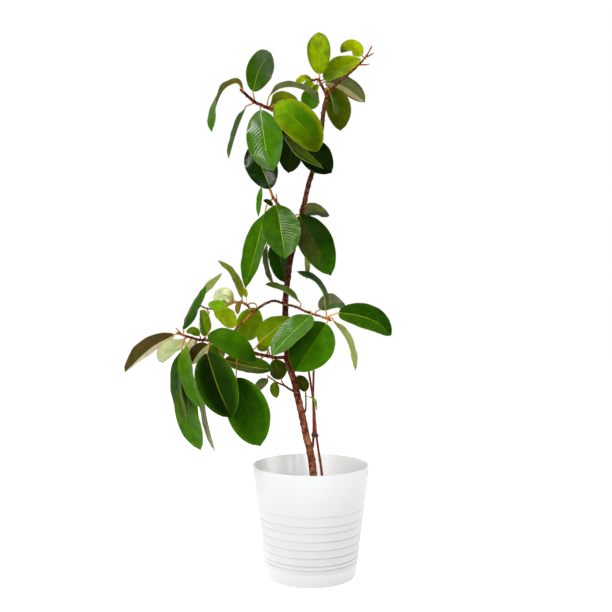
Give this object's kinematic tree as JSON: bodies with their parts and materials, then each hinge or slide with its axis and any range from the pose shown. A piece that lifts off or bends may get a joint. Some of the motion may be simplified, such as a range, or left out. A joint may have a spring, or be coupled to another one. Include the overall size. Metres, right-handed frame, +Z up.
{
  "type": "potted rubber plant",
  "caption": "Tall potted rubber plant: glossy oval leaves in sprays on a leaning trunk, standing in a tapered white pot with soft ribs round its lower half.",
  "frame": {"origin": "middle of the pot's flat base, on the floor", "axes": "+Z up, -Y towards the side that the picture shows, +X to the right seen from that side"},
  "size_m": [0.4854, 0.2337, 1.0346],
  "materials": {
    "pot_white": "satin white, smooth, with soft moulded ribs",
    "soil": "loose dark potting soil",
    "bark": "smooth reddish brown bark with ring scars, matt to satin",
    "leaf": "glossy leathery green upper face, paler matt underside, yellow midrib",
    "shoot": "glossy orange-brown young bark",
    "tie_black": "satin black strap"
  },
  "bodies": {
    "root": {"pot": "pot_white", "soil": "soil", "trunk": "bark", "leafy_stem_top_left": "leaf", "leafy_stem_top_right": "leaf", "leafy_stem_upper_left": "leaf", "leafy_stem_middle": "leaf", "leafy_stem_left": "leaf", "leafy_stem_right": "leaf", "leafy_stem_back_left": "leaf", "leafy_twig_low_left": "leaf", "leafy_twig_low_right": "leaf", "thin_shoot_soil": "shoot", "thin_shoot_trunk": "shoot", "tie": "tie_black"}
  },
  "joints": []
}
